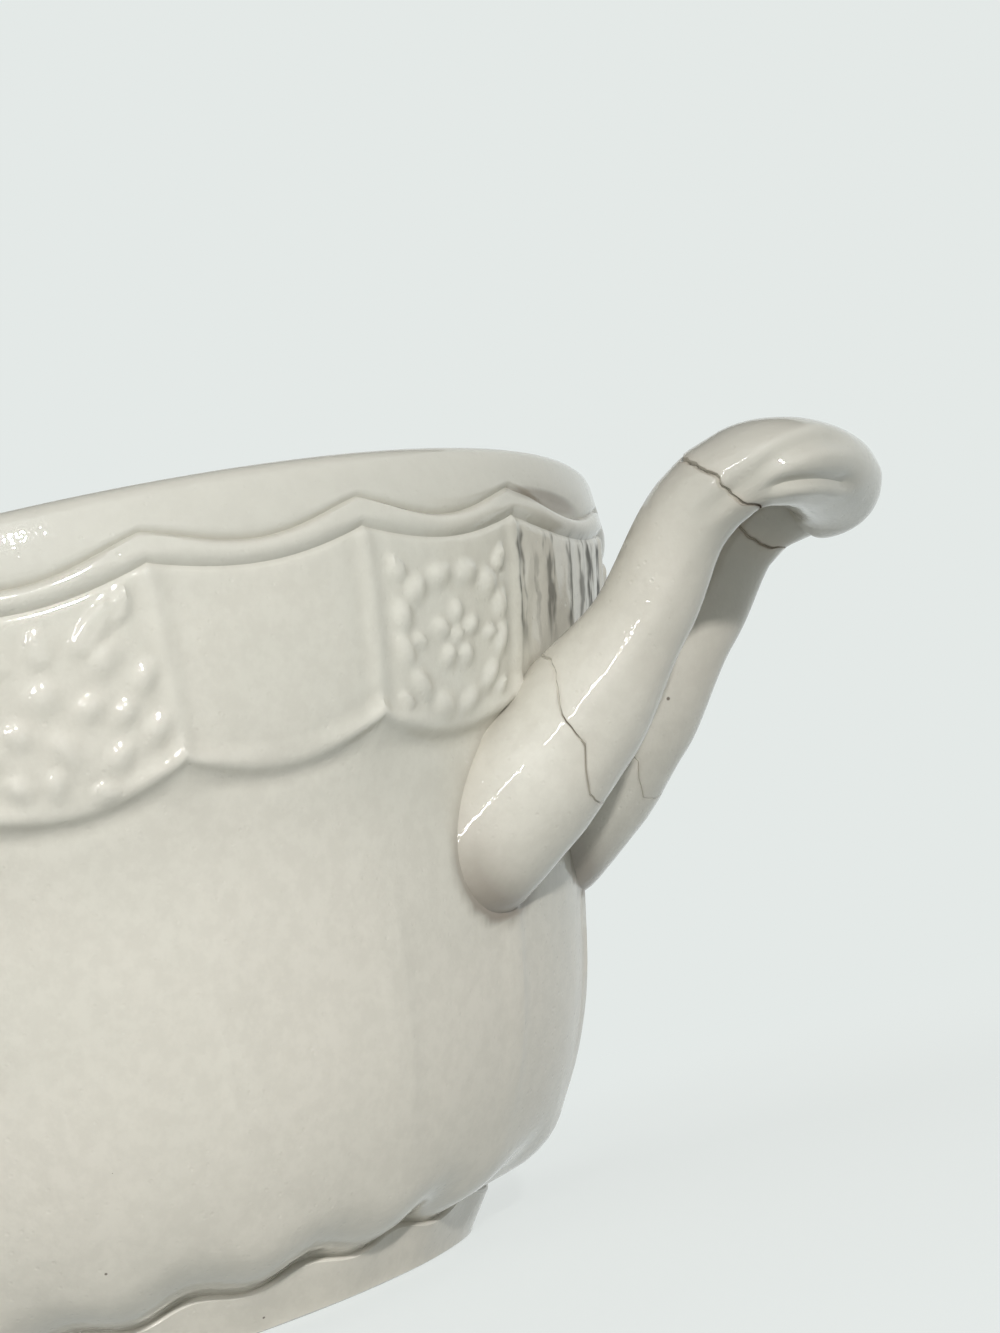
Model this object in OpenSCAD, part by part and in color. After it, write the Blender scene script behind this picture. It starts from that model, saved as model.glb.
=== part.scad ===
// Glazed earthenware serving bowl with two loop handles.
// The bowl, its foot ring and both handles are one fired piece.
// Hairline cracks run round the arms of the handle on the +X side.
// Origin: centre of the foot's underside. +Z is up and the handles lie along X.

/* [Bowl] */
// Radius of the rim, outside
rim_r = 110; // [90:1:140]
// Height of the rim above the table
rim_h = 119.5; // [100:0.5:150]
// Wall thickness
wall = 5.5; // [4:0.5:8]
// Radius of the rounding on the rim's outer edge
lip_r = 2.4; // [1:0.1:2.6]
// How far the belly, just under the panels, lies inside the rim
belly_inset = 16.5; // [10:0.5:25]
// Radius of the body where it turns in towards the foot
turn_r = 74.5; // [66:0.5:80]
// Radius of the waist where the body meets the foot
waist_r = 58.5; // [55:0.5:66]

/* [Foot] */
// Outer radius of the foot ring at the table
foot_r = 54; // [45:0.5:58]
// Height of the foot ring
foot_h = 9; // [6:0.5:14]
// Width of the foot ring's flat face
foot_face_w = 6; // [4:0.5:10]
// Depth of the recess under the bowl
recess_h = 5; // [2:0.5:7]
// Depth of the wave along the top of the foot
foot_wave_h = 1.8; // [0:0.1:2.5]

/* [Panel band] */
// Angle of the plain panel behind each handle, in degrees
handle_panel_a = 24.8; // [20:0.1:32]
// Angle of each of the three panels next to it on both sides, in degrees
near_panel_a = 17.9; // [16:0.1:19]
// Drop from the rim down to the groove under the plain rim band
groove_drop = 6.9; // [5:0.1:9]
// Drop from that groove down to the top of the panels
bead_drop = 4.2; // [3:0.1:6]
// Height of a panel at its side edges
panel_h = 26.9; // [20:0.1:32]
// How far the top of the panels lies inside the rim
panel_top_inset = 0.9; // [0:0.1:4]
// How far the bottom of the panels lies inside the rim
panel_foot_inset = 9.2; // [6:0.1:14]
// Depth of the wave along the groove
groove_wave_h = 3.6; // [0:0.1:4.5]
// Depth of the wave along the top of the panels
top_wave_h = 2.8; // [0:0.1:4]
// Depth of the scallops along the bottom of the panels
scallop_h = 3.8; // [0:0.1:6]
// How far the mouldings stand out
mould_h = 0.7; // [0.3:0.1:1.2]
// Height of the soft ribs that run down the body
rib_h = 0.5; // [0:0.1:1]

/* [Handles] */
// Distance from the rim out to the middle of a handle's end bar
handle_out = 39.8; // [35:0.1:52]
// Height of the end bar's centre below the rim
handle_drop = 16.5; // [12:0.1:24]
// Distance of an arm's root from the handle's middle plane
root_spread = 19.2; // [16:0.1:24]
// Distance of an arm from that plane halfway up
arm_spread = 16; // [14:0.5:22]
// Distance of an arm from that plane where it turns into the end bar
top_spread = 18.6; // [16:0.1:24]
// Radius of the rounded root that sits on the body
root_r = 12.8; // [11:0.1:14]
// Radius of an arm halfway up
arm_r = 7; // [6:0.1:9]
// Half width of the end bar, front to back
bar_w = 8.2; // [7:0.1:10]
// Half height of the end bar
bar_h = 6.6; // [5.5:0.1:8]
// How far one end of the end bar sags below the rest
bar_sag = 3.2; // [0:0.1:4]

/* [Cracks] */
// Half width of a crack at the surface
crack_w = 0.45; // [0.2:0.05:0.8]
// Depth of a crack
crack_d = 0.8; // [0.3:0.1:1.5]

/* [Hidden] */
glaze = [0.80, 0.78, 0.74];

belly_r = rim_r - belly_inset;
panel_top_r = rim_r - panel_top_inset;
panel_foot_r = rim_r - panel_foot_inset;
handle_reach = rim_r + handle_out;

// Heights of the lines that run round the bowl, each at the side edge of a panel
groove_z = rim_h - groove_drop;
panel_top_z = groove_z - bead_drop;
panel_foot_z = panel_top_z - panel_h;
side_h = panel_foot_z - foot_h;

// Twenty panels, plain and flowered in turn, the first plain one centred behind the +X handle
middle_panel_a = (180 - handle_panel_a - 6 * near_panel_a) / 3;
half_turn = concat(
    [handle_panel_a], [for (i = [1:3]) near_panel_a],
    [for (i = [1:3]) middle_panel_a], [for (i = [1:3]) near_panel_a]
);
panel_count = 2 * len(half_turn);
function panel_a(k) = half_turn[k % len(half_turn)];
edges = [for (k = 0, a = -handle_panel_a / 2; k < panel_count; a = a + panel_a(k), k = k + 1) a];

// Places across one panel where the skin has a column, closer at the two edges
columns = [0, 0.07, 0.2, 0.5, 0.8, 0.93];
column_count = panel_count * len(columns);

function mix(a, b, t) = a + (b - a) * t;
function sq(x) = x * x;
function across(i) = columns[i % len(columns)];
function column_angle(i) = let (k = floor(i / len(columns))) edges[k] + panel_a(k) * across(i);
// 0 at a panel's edges and 1 at its middle, with a sharp turn at each edge
function arch(u, sharp) = pow(abs(sin(180 * u)), sharp);
// 1 on a panel's edge, fading to 0 within a tenth of the panel
function edge_ridge(u) = exp(-sq(min(u, 1 - u) / 0.06));
// 1 on the line of a soft rib, fading over a quarter of the panel
function soft_rib(u) = exp(-sq(min(u, 1 - u) / 0.11));

// The body's outline under the panels, as a smooth run through a few radii
body_line = [
    [foot_h, waist_r],
    [foot_h + 2.2, mix(waist_r, turn_r, 0.52)],
    [foot_h + 7.2, turn_r],
    [foot_h + side_h * 0.3, mix(turn_r, belly_r, 0.44)],
    [foot_h + side_h * 0.55, mix(turn_r, belly_r, 0.73)],
    [foot_h + side_h * 0.8, mix(turn_r, belly_r, 0.97)],
    [panel_foot_z - 4.5, belly_r + 3.6],
    [panel_foot_z, panel_foot_r],
    [mix(panel_foot_z, panel_top_z, 0.5), mix(panel_foot_r, panel_top_r, 0.57)],
    [panel_top_z, panel_top_r],
    [groove_z, rim_r],
    [rim_h, rim_r]
];
function slope(p, i) =
    i == 0 ? (p[1][1] - p[0][1]) / (p[1][0] - p[0][0])
    : i == len(p) - 1 ? (p[i][1] - p[i - 1][1]) / (p[i][0] - p[i - 1][0])
    : (p[i + 1][1] - p[i - 1][1]) / (p[i + 1][0] - p[i - 1][0]);
function span_at(p, z, i = 0) = i >= len(p) - 2 || z < p[i + 1][0] ? i : span_at(p, z, i + 1);
function smooth_run(p, z) =
    let (i = span_at(p, z), w = p[i + 1][0] - p[i][0], t = (z - p[i][0]) / w)
    (1 + 2 * t) * sq(1 - t) * p[i][1] + t * sq(1 - t) * w * slope(p, i)
    + sq(t) * (3 - 2 * t) * p[i + 1][1] - sq(t) * (1 - t) * w * slope(p, i + 1);
function outside_r(z) = smooth_run(body_line, min(max(z, foot_h), rim_h));

// The lines' heights at a place u across a panel
function groove_at(u) = groove_z - groove_wave_h * arch(u, 1.2);
function top_at(u) = panel_top_z - top_wave_h * arch(u, 0.9);
function scallop_at(u) = panel_foot_z - scallop_h * arch(u, 0.85);
function foot_line_at(u) = foot_h - foot_wave_h * (1 - arch(u, 1.3));

// One column of the skin, as [radius, height] pairs: from the recess under the foot, up the
// outside, over the rim and down the inside to the floor
floor_z = recess_h + wall;
corner_r = 16;
body_rows = [0.03, 0.1, 0.22, 0.38, 0.58, 0.8, 0.94];
panel_rows = [0.15, 0.5, 0.85];
inside_rows = [0.8, 0.55, 0.3, 0];
corner_centre_r = outside_r(floor_z + corner_r) - wall - corner_r;
function column_line(i) =
    let (
        u = across(i), foot_z = foot_line_at(u), low = scallop_at(u),
        high = top_at(u), groove = groove_at(u)
    )
    concat(
        [[foot_r - foot_face_w - 1.5, recess_h], [foot_r - foot_face_w, 0]],
        [[foot_r - 0.6, 0], [foot_r, 0.8]],
        [[mix(foot_r, waist_r, 0.8) + 0.3, foot_z - 1.2], [waist_r + 0.4, foot_z]],
        [for (k = body_rows) let (z = mix(foot_z, low - 0.5, k))
            [outside_r(z) + rib_h * soft_rib(u) * sin(180 * min(1, k * 1.1)), z]],
        [[outside_r(low) - mould_h, low - 0.5], [outside_r(low) + mould_h, low + 0.5],
            [outside_r(low + 1.6) + mould_h, low + 1.6], [outside_r(low + 2.8), low + 2.8]],
        [for (k = panel_rows) let (z = mix(low + 2.8, high - 1, k))
            [outside_r(z) + mould_h * edge_ridge(u), z]],
        [[outside_r(high) - mould_h * 0.4, high], [outside_r(high) + mould_h, mix(high, groove, 0.5)],
            [outside_r(groove) - mould_h * 0.8, groove], [outside_r(groove), groove + 1.3]],
        [[rim_r, rim_h - lip_r], [rim_r - lip_r * 0.3, rim_h - lip_r * 0.3],
            [rim_r - lip_r, rim_h], [rim_r - wall + 1, rim_h], [rim_r - wall, rim_h - 1.2]],
        [for (k = inside_rows) let (z = mix(floor_z + corner_r, rim_h, k)) [outside_r(z) - wall, z]],
        [for (a = [60, 30]) [corner_centre_r + corner_r * sin(a), floor_z + corner_r * (1 - cos(a))]]
    );

// A closed skin over rings of points, each ring with the same number of points in a right-hand
// turn about the way from the first ring to the last
function ring_faces(rings, n) = [
    for (j = [0:rings - 2]) for (i = [0:n - 1])
        let (a = j * n + i, b = j * n + (i + 1) % n)
        for (f = [[a, b, b + n], [a, b + n, a + n]]) f
];
function cap_faces(rings, n) = concat(
    [for (i = [0:n - 1]) [rings * n, (i + 1) % n, i]],
    [for (i = [0:n - 1]) [rings * n + 1, (rings - 1) * n + i, (rings - 1) * n + (i + 1) % n]]
);
module skin(rings, first, last) {
    count = len(rings);
    n = len(rings[0]);
    faces = concat(ring_faces(count, n), cap_faces(count, n));
    polyhedron(
        points = concat([for (r = rings) for (p = r) p], [first, last]),
        faces = [for (f = faces) [f[0], f[2], f[1]]],
        convexity = 8
    );
}

module body_skin() {
    lines = [for (i = [0:column_count - 1]) column_line(i)];
    rings = [for (j = [0:len(lines[0]) - 1]) [
        for (i = [0:column_count - 1])
            let (r = lines[i][j][0], a = column_angle(i)) [r * cos(a), r * sin(a), lines[i][j][1]]
    ]];
    skin(rings, [0, 0, recess_h], [0, 0, floor_z]);
}

// The round core, half a wall under the outside, that each arm's root is cut back to
core_steps = 10;
module root_core() {
    low = foot_h + side_h * 0.3;
    high = panel_foot_z + 2;
    rotate_extrude($fn = 160) polygon(concat(
        [[0, low]],
        [for (k = [0:core_steps]) let (z = mix(low, high, k / core_steps)) [outside_r(z) - wall / 2, z]],
        [[0, high]]
    ));
}

// Low relief on a flowered panel: a fruit between two leaves, each half sunk in the panel
fruit_r = 3.2;
leaf_r = 2.6;
leaf_len = 7;
leaf_lean = 35;
leaf_turn = 3.1;
module on_panel(angle, side, z, sink) {
    rotate([0, 0, angle + side]) translate([outside_r(z) - sink, 0, z]) children();
}
module leaf(lean) {
    rotate([lean, 0, 0]) hull() {
        sphere(leaf_r, $fn = 8);
        translate([0.8, 0, leaf_len]) sphere(leaf_r * 0.35, $fn = 8);
    }
}
module relief() {
    middle = mix(panel_foot_z, panel_top_z, 0.4);
    for (k = [1:2:panel_count - 1]) {
        angle = edges[k] + panel_a(k) / 2;
        on_panel(angle, 0, middle, 1.8) sphere(fruit_r, $fn = 10);
        for (side = [-1, 1])
            on_panel(angle, side * leaf_turn, middle + 2, 1.5) leaf(-side * leaf_lean);
    }
}

// Points along one handle's middle line, from the root of one arm to the end bar
bar_z = rim_h - handle_drop;
arm_points = [
    [belly_r - 10.5, root_spread, panel_foot_z - 19.5],
    [belly_r + 0.5, mix(root_spread, arm_spread, 0.4), panel_foot_z - 13],
    [belly_r + 11.5, arm_spread, panel_foot_z - 5.5],
    [belly_r + 26.5, arm_spread, panel_foot_z + 6.5],
    [handle_reach - 18.5, mix(arm_spread, top_spread, 0.7), bar_z - 3.5],
    [handle_reach - 8.5, top_spread, bar_z + 0.8],
    [handle_reach - 2, top_spread * 0.78, bar_z + 0.5],
    [handle_reach, 0, bar_z]
];
arm_half_widths = [
    root_r, root_r * 0.97, root_r * 0.84, arm_r + 0.8, arm_r + 0.1, arm_r, mix(arm_r, bar_w, 0.5), bar_w
];
arm_half_heights = [
    root_r * 0.97, root_r * 0.94, root_r * 0.84, arm_r + 0.6, arm_r - 0.1, bar_h, bar_h, bar_h
];
last_point = len(arm_points) - 1;

// A smooth curve through the points, mirrored past the end bar; u runs from 0 to twice last_point
function path_point(i) =
    i < 0 ? 2 * arm_points[0] - path_point(-i)
    : i <= last_point ? [arm_points[i][0], -arm_points[i][1], arm_points[i][2]]
    : i <= 2 * last_point ? let (p = arm_points[2 * last_point - i]) [p[0], p[1], p[2]]
    : 2 * arm_points[0] - path_point(4 * last_point - i);
function catmull(a, b, c, d, t) =
    0.5 * (2 * b + (c - a) * t + (2 * a - 5 * b + 4 * c - d) * t * t
    + (3 * b - a - 3 * c + d) * t * t * t);
function path_at(u) =
    let (i = min(max(floor(u), 0), 2 * last_point - 1))
    catmull(
        i == 0 ? 2 * path_point(0) - path_point(1) : path_point(i - 1), path_point(i),
        path_point(i + 1),
        i == 2 * last_point - 1 ? 2 * path_point(i + 1) - path_point(i) : path_point(i + 2), u - i
    );
function unit(v) = v / norm(v);
function path_way(u) = unit(path_at(min(u + 0.01, 2 * last_point)) - path_at(max(u - 0.01, 0)));
function along(list, u) =
    let (v = u <= last_point ? u : 2 * last_point - u, i = min(floor(v), last_point - 1))
    mix(list[i], list[i + 1], (3 - 2 * (v - i)) * sq(v - i));

// Cracks: place along the path, and how far the line wanders to each side
crack_places = [[1.95, 1.2], [4.6, 0.75], [9.75, 0.6], [12.4, 0.6]];
handle_sides = 16;
function wander(i, size) = size * (0.6 * sin(360 * i / handle_sides + 40) + 0.4 * sin(i * 137));

// The end bar is thicker below and outside at one end, most of all at one place along it
sag_place = 8.3;
sag_reach = 0.95;
sag_angle = 240;
function sag(u, a) = bar_sag * exp(-sq((u - sag_place) / sag_reach)) * max(0, cos(a - sag_angle));

// One ring of the handle's skin. shift moves each point along the arm, size scales the section
function handle_ring(u, size = 1, shift = 0, back = 0) =
    let (
        c = path_at(u), way = path_way(u), side = unit(cross([0, 0, 1], way)), up = cross(way, side),
        w = along(arm_half_widths, u) * size, h = along(arm_half_heights, u) * size
    )
    [for (i = [0:handle_sides - 1]) let (a = 360 * i / handle_sides, more = sag(u, a))
        c - back * way + (w + more) * cos(a) * side + (h + more) * sin(a) * up
        + shift * wander(i, 1) * way];
function groove_size(u) = 1 - crack_d / along(arm_half_widths, u);

// Plain rings and crack rings in order along the path
plain_places = [for (u = [0:0.5:2 * last_point]) u];
function near_crack(u, cracks) = len([for (c = cracks) if (abs(u - c[0]) < 0.32) 1]) > 0;
function crack_rings(c) = [
    for (k = [-1, 0, 1])
        let (v = c[0] + k * crack_w / 11)
        [v, k == 0 ? groove_size(v) : 1, c[1] * 2]
];
function handle_stations(cracks) =
    let (
        plain = [for (u = plain_places) if (!near_crack(u, cracks)) [u, 1, 0]],
        all = concat(plain, [for (c = cracks) each crack_rings(c)])
    )
    by_place(all);
function by_place(list) =
    len(list) < 2 ? list
    : let (
        pivot = list[floor(len(list) / 2)][0],
        low = [for (s = list) if (s[0] < pivot) s],
        same = [for (s = list) if (s[0] == pivot) s],
        high = [for (s = list) if (s[0] > pivot) s]
    )
    concat(by_place(low), same, by_place(high));

// Each root ends in a dome, which the core trims off inside the wall
dome = [70, 40];
module handle(cracks) {
    end = 2 * last_point;
    rings = concat(
        [for (a = dome) handle_ring(0, cos(a), 0, root_r * sin(a))],
        [for (s = handle_stations(cracks)) handle_ring(s[0], s[1], s[2])],
        [for (i = [1, 0]) handle_ring(end, cos(dome[i]), 0, -root_r * sin(dome[i]))]
    );
    skin(rings, path_at(0) - root_r * path_way(0), path_at(end) + root_r * path_way(end));
}

module bowl() {
    color(glaze)
    union() {
        body_skin();
        difference() {
            union() {
                handle(crack_places);
                rotate([0, 0, 180]) handle([]);
            }
            root_core();
        }
        relief();
    }
}

bowl();
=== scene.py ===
import math
import random

import bmesh
import bpy
import numpy as np
from mathutils import Matrix, Vector
from mathutils.kdtree import KDTree


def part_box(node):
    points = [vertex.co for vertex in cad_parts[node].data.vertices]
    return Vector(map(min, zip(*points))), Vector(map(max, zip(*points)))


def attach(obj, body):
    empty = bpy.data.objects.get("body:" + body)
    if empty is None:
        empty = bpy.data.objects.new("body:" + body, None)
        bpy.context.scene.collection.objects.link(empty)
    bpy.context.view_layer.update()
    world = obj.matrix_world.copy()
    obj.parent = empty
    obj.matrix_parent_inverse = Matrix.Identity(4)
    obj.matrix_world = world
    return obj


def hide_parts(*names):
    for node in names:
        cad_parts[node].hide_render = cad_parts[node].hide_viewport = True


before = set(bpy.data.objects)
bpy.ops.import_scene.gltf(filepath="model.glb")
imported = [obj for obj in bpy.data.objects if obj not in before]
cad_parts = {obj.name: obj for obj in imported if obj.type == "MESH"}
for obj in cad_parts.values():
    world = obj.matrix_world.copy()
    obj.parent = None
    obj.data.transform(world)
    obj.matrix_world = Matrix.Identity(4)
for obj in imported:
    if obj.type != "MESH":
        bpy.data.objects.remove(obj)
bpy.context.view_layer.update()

# A glazed serving bowl with a wavy panelled band and two loop handles, one of them cracked.
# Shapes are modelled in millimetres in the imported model's frame and scaled to metres at the end.
MM = 0.001
BOX_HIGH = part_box("bowl")[1]

# ---- Sizes of the bowl, in millimetres ----
RIM_R = BOX_HIGH.y / MM
RIM_H = BOX_HIGH.z / MM
HANDLE_END = BOX_HIGH.x / MM
WALL = 5.5
LIP_R = 2.4
BELLY_R = RIM_R - 16.5
TURN_R = 74.5
WAIST_R = 58.5
FOOT_R = 54.0
FOOT_H = 9.0
FOOT_FACE_W = 6.0
RECESS_H = 5.0
FOOT_WAVE_H = 1.8

# ---- The panel band ----
HANDLE_PANEL_A = 24.8
NEAR_PANEL_A = 17.9
PANEL_H = 26.9
GROOVE_Z = RIM_H - 6.9
PANEL_TOP_Z = GROOVE_Z - 4.2
PANEL_FOOT_Z = PANEL_TOP_Z - PANEL_H
SIDE_H = PANEL_FOOT_Z - FOOT_H
PANEL_TOP_R = RIM_R - 0.9
PANEL_FOOT_R = RIM_R - 9.2
GROOVE_WAVE_H = 3.6
TOP_WAVE_H = 2.8
SCALLOP_H = 3.8

# ---- The handles ----
BAR_W = 8.2
BAR_H = 6.6
LAND_H = 0.35
HANDLE_REACH = HANDLE_END - BAR_W - LAND_H
BAR_Z = RIM_H - 16.5
BAR_SAG = 3.2
ROOT_SPREAD = 19.2
ARM_SPREAD = 16.0
TOP_SPREAD = 18.6
ROOT_R = 12.8
ARM_R = 7.0


def mix(a, b, t):
    return a + (b - a) * t


def bump_at(distance, width):
    """1 on a line and 0 away from it, over about one width."""
    return np.exp(-((distance / width) ** 2))


def smooth_step(value, low, high):
    t = np.clip((value - low) / (high - low), 0, 1)
    return t * t * (3 - 2 * t)


# ---- Outline of the body: a smooth run through a few heights and radii ----
BODY_LINE = np.array([
    (FOOT_H, WAIST_R),
    (FOOT_H + 2.2, mix(WAIST_R, TURN_R, 0.52)),
    (FOOT_H + 7.2, TURN_R),
    (FOOT_H + SIDE_H * 0.3, mix(TURN_R, BELLY_R, 0.44)),
    (FOOT_H + SIDE_H * 0.55, mix(TURN_R, BELLY_R, 0.73)),
    (FOOT_H + SIDE_H * 0.8, mix(TURN_R, BELLY_R, 0.97)),
    (PANEL_FOOT_Z - 4.5, BELLY_R + 3.6),
    (PANEL_FOOT_Z, PANEL_FOOT_R),
    (mix(PANEL_FOOT_Z, PANEL_TOP_Z, 0.5), mix(PANEL_FOOT_R, PANEL_TOP_R, 0.57)),
    (PANEL_TOP_Z, PANEL_TOP_R),
    (GROOVE_Z, RIM_R),
    (RIM_H, RIM_R),
])


def outside_r(z):
    """Radius of the plain outside at a height."""
    heights, radii = BODY_LINE.T
    slopes = np.empty(len(heights))
    slopes[1:-1] = (radii[2:] - radii[:-2]) / (heights[2:] - heights[:-2])
    slopes[0] = (radii[1] - radii[0]) / (heights[1] - heights[0])
    slopes[-1] = (radii[-1] - radii[-2]) / (heights[-1] - heights[-2])
    z = np.clip(z, FOOT_H, RIM_H)
    i = np.clip(np.searchsorted(heights, z, side="right") - 1, 0, len(heights) - 2)
    span = heights[i + 1] - heights[i]
    t = (z - heights[i]) / span
    rise = (1 + 2 * t) * (1 - t) ** 2 * radii[i] + t**2 * (3 - 2 * t) * radii[i + 1]
    return rise + t * (1 - t) ** 2 * span * slopes[i] - t**2 * (1 - t) * span * slopes[i + 1]


# ---- Twenty panels, plain and flowered in turn, the first one behind the +X handle ----
MIDDLE_PANEL_A = (180 - HANDLE_PANEL_A - 6 * NEAR_PANEL_A) / 3
HALF_TURN = [HANDLE_PANEL_A] + [NEAR_PANEL_A] * 3 + [MIDDLE_PANEL_A] * 3 + [NEAR_PANEL_A] * 3
PANEL_A = np.array(HALF_TURN * 2)
PANEL_START = np.concatenate([[0], np.cumsum(PANEL_A)]) - HANDLE_PANEL_A / 2
PANEL_COUNT = len(PANEL_A)
COLUMNS_PLAIN, COLUMNS_FLOWERED, COLUMNS_HANDLE = 22, 46, 26
PANEL_COLUMNS = np.array([
    COLUMNS_HANDLE if k % 10 == 0 else COLUMNS_FLOWERED if k % 2 else COLUMNS_PLAIN
    for k in range(PANEL_COUNT)
])
FIRST_COLUMN = np.concatenate([[0], np.cumsum(PANEL_COLUMNS)])
BAND_COLUMNS = int(FIRST_COLUMN[-1])
BODY_COLUMNS = BAND_COLUMNS // 2


def column_place(column):
    """Panel, place across it from 0 to 1, and angle in degrees for each band column."""
    column = np.mod(column, BAND_COLUMNS)
    panel = np.clip(np.searchsorted(FIRST_COLUMN, column, side="right") - 1, 0, PANEL_COUNT - 1)
    t = (column - FIRST_COLUMN[panel]) / PANEL_COLUMNS[panel]
    gather = np.where(panel % 2 == 1, 0.15, 0.6)
    across = t - gather * np.sin(2 * np.pi * t) / (2 * np.pi)
    return panel, across, PANEL_START[panel] + PANEL_A[panel] * across


def arch(across, sharp):
    return np.abs(np.sin(np.pi * across)) ** sharp


def line_heights(across):
    """Heights of the foot line, the scallops, the panel tops and the groove at a place."""
    return (
        FOOT_H - FOOT_WAVE_H * (1 - arch(across, 2.2)),
        PANEL_FOOT_Z - SCALLOP_H * arch(across, 0.85),
        PANEL_TOP_Z - TOP_WAVE_H * arch(across, 0.9),
        GROOVE_Z - GROOVE_WAVE_H * arch(across, 1.2),
    )


# ---- Low relief in the flowered panels: fruit as (place across, height over the foot line,
# half width, half height, turn in degrees), leaves as (place, height, length, width, turn) ----
CLUSTER_FRUIT = [
    (8.1, 18.6, 2.5, 2.4, 0), (13.1, 13.6, 2.0, 2.2, 0), (4.9, 13.3, 2.1, 2.0, 0),
    (9.5, 10.9, 1.9, 1.9, 0), (13.6, 6.6, 2.0, 2.1, 0), (7.6, 5.7, 2.2, 2.1, 0),
    (-0.8, 16.4, 2.5, 2.4, 0), (-8.8, 17.7, 2.4, 2.2, 0), (-13.2, 13.0, 2.0, 2.1, 0),
    (-5.3, 12.0, 2.1, 2.1, 0), (-10.0, 9.7, 1.9, 2.0, 0), (-13.6, 5.8, 1.9, 2.0, 0),
    (-6.9, 5.0, 2.1, 2.0, 0), (0.6, 9.0, 1.7, 2.9, 24), (-1.9, 5.0, 1.6, 2.3, -20),
]
CLUSTER_LEAVES = [
    (4.2, 20.2, 9.0, 2.3, 38), (-4.6, 20.0, 9.0, 2.2, 142), (10.8, 21.6, 5.2, 1.5, 66),
    (-11.2, 21.4, 5.2, 1.5, 114), (0.0, 20.0, 5.6, 1.6, 90), (2.6, 3.4, 4.2, 1.3, -28),
]
WREATH_FRUIT = [
    (11.4 * math.cos(a), 13.2 + 9.4 * math.sin(a), 1.8, 2.7, math.degrees(a))
    for a in (2 * math.pi * (i + 0.5) / 12 for i in range(12))
] + [
    (3.5 * math.cos(a), 13.6 + 3.4 * math.sin(a), 1.5, 1.9, math.degrees(a) + 90)
    for a in (2 * math.pi * i / 5 + 0.3 for i in range(5))
] + [(0.0, 13.6, 1.4, 1.4, 0)]
WREATH_LEAVES = [
    (-10.4, 20.6, 4.0, 1.5, 118), (10.4, 20.6, 4.0, 1.5, 62), (-6.8, 13.0, 3.0, 1.1, 196),
    (6.8, 13.0, 3.0, 1.1, -16), (-9.8, 3.4, 3.2, 1.1, 158), (9.8, 3.4, 3.2, 1.1, 22),
]
FRUIT_RISE = 0.9
LEAF_RISE = 0.85


def turned(x, y, centre_x, centre_y, degrees):
    c, s = math.cos(math.radians(degrees)), math.sin(math.radians(degrees))
    dx, dy = x - centre_x, y - centre_y
    return dx * c + dy * s, dy * c - dx * s


def relief_height(x, y, fruit, leaves):
    """Height of the moulded fruit and leaves at a place on one panel."""
    total = np.zeros_like(x)
    for cx, cy, half_w, half_h, turn in fruit:
        along, side = turned(x, y, cx, cy, turn)
        distance = np.sqrt((along / half_w) ** 2 + (side / half_h) ** 2)
        total += (FRUIT_RISE * np.exp(-1.6 * distance**2.9)) ** 4
    for cx, cy, length, width, turn in leaves:
        along, side = turned(x, y, cx, cy, turn)
        t = np.clip(along / length, 0, 1)
        half = width * np.sin(np.pi * t**0.8) ** 0.8 + 0.05
        blade = np.exp(-1.6 * np.abs(side / half) ** 3) * smooth_step(np.sin(np.pi * t), 0, 0.35)
        vein = 0.3 * bump_at(side, 0.4)
        total += np.maximum(LEAF_RISE * (blade - vein * blade), 0) ** 4
    return total**0.25


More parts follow.
